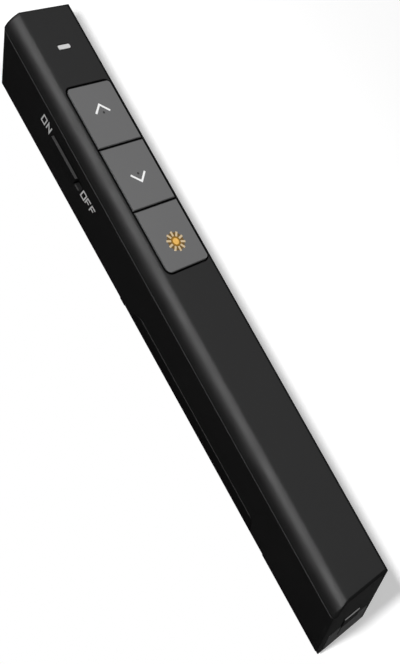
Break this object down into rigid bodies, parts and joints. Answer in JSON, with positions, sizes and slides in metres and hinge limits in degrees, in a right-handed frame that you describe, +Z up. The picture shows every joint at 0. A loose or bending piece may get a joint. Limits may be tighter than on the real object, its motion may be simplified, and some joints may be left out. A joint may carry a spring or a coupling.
{
  "type": "laser pointer",
  "caption": "Slim black wireless presenter with a laser in its nose, a row of flush keys, a power slide on its side, a cell under a pull-off cover and a receiver stowed in its tail.",
  "frame": {"origin": "on the flat underside, under the middle of the body's length and width", "axes": "+Y along the body to the laser's end, +Z up through the keys, +X to the right seen from above"},
  "size_m": [0.0179, 0.1504, 0.018],
  "materials": {
    "cover_plastic": "fine satin moulding texture",
    "housing_plastic": "fine matt moulding texture",
    "key_plastic": "soft matt",
    "knob_plastic": "matt",
    "cap_plastic": "satin",
    "dark_plastic": "matt",
    "light_pipe": "clear, milky end",
    "led": "clear resin",
    "clear_window": "clear",
    "circuit_board": "solder mask",
    "steel": "plated",
    "spring_metal": "nickel plated",
    "brass": "turned",
    "ceramic": "fired",
    "cell_label": "printed wrap",
    "white_print": "printed ink",
    "orange_print": "printed ink"
  },
  "bodies": {
    "housing": {"upper_cover": "cover_plastic", "lower_housing": "housing_plastic", "push_switches": "steel", "main_board": "circuit_board", "radio_chip": "dark_plastic", "crystal": "steel", "capacitors": "ceramic", "status_led": "led", "light_pipe": "light_pipe", "slide_switch_frame": "steel", "laser_barrel": "brass", "laser_lens": "clear_window", "laser_diode": "brass", "laser_driver_board": "circuit_board", "laser_pins": "steel", "laser_window": "clear_window", "battery_cell": "cell_label", "battery_spring": "spring_metal", "negative_contact": "spring_metal", "positive_contact": "spring_metal", "housing_screw": "steel", "board_screws": "steel"},
    "page_up": {"page_up_key": "key_plastic", "page_up_plunger": "dark_plastic"},
    "page_down": {"page_down_key": "key_plastic", "page_down_plunger": "dark_plastic"},
    "laser_button": {"laser_key": "key_plastic", "laser_plunger": "dark_plastic"},
    "power_slider": {"power_knob": "knob_plastic", "slide_switch_lever": "dark_plastic"},
    "cover": {"battery_cover": "housing_plastic"},
    "receiver": {"receiver_cap": "cap_plastic", "receiver_sleeve": "steel", "receiver_board": "circuit_board", "receiver_contacts": "brass"}
  },
  "joints": [
    {"name": "page_up_press", "type": "slide", "parent": "housing", "child": "page_up", "axis": [0, 0, -1], "range_m": [0, 0.0005], "stiffness_N_per_m": 800, "springref_m": -0.0005},
    {"name": "page_down_press", "type": "slide", "parent": "housing", "child": "page_down", "axis": [0, 0, -1], "range_m": [0, 0.0005], "stiffness_N_per_m": 800, "springref_m": -0.0005},
    {"name": "laser_press", "type": "slide", "parent": "housing", "child": "laser_button", "axis": [0, 0, -1], "range_m": [0, 0.0005], "stiffness_N_per_m": 800, "springref_m": -0.0005},
    {"name": "power_slide", "type": "slide", "parent": "housing", "child": "power_slider", "axis": [0, -1, 0], "range_m": [0, 0.002]},
    {"name": "battery_cover_pull", "type": "slide", "parent": "housing", "child": "cover", "axis": [0, 0, -1], "range_m": [0, 0.012]},
    {"name": "receiver_pull", "type": "slide", "parent": "housing", "child": "receiver", "axis": [0, -1, 0], "range_m": [0, 0.024]}
  ]
}
